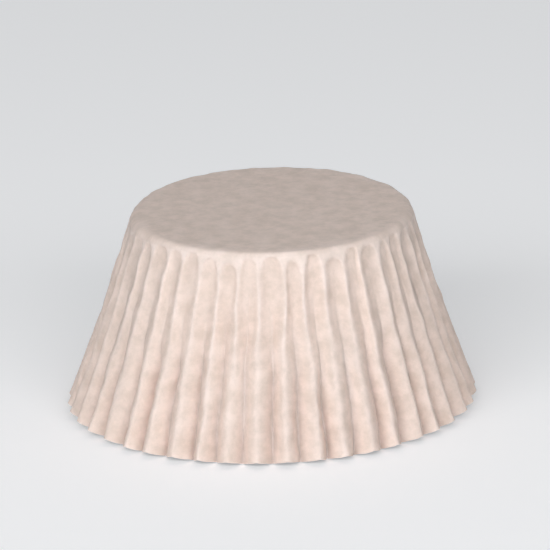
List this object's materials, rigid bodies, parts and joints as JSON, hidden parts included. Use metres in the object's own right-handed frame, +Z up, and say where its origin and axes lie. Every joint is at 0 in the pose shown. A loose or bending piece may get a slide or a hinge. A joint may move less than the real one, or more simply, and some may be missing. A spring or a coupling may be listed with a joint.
{
  "type": "cupcake liner",
  "caption": "Fluted paper baking case with a flat round base and a flared, pleated wall, standing mouth down on its rim.",
  "frame": {"origin": "centre of the mouth, on the surface that the rim stands on", "axes": "+Z up along the axis of the case, out through its base, which is on top in this pose; a valley between two flutes faces along X and along Y"},
  "size_m": [0.0748, 0.0748, 0.0365],
  "materials": {
    "greaseproof_paper": "matt greaseproof paper, slightly translucent"
  },
  "bodies": {
    "root": {"liner": "greaseproof_paper"}
  },
  "joints": []
}
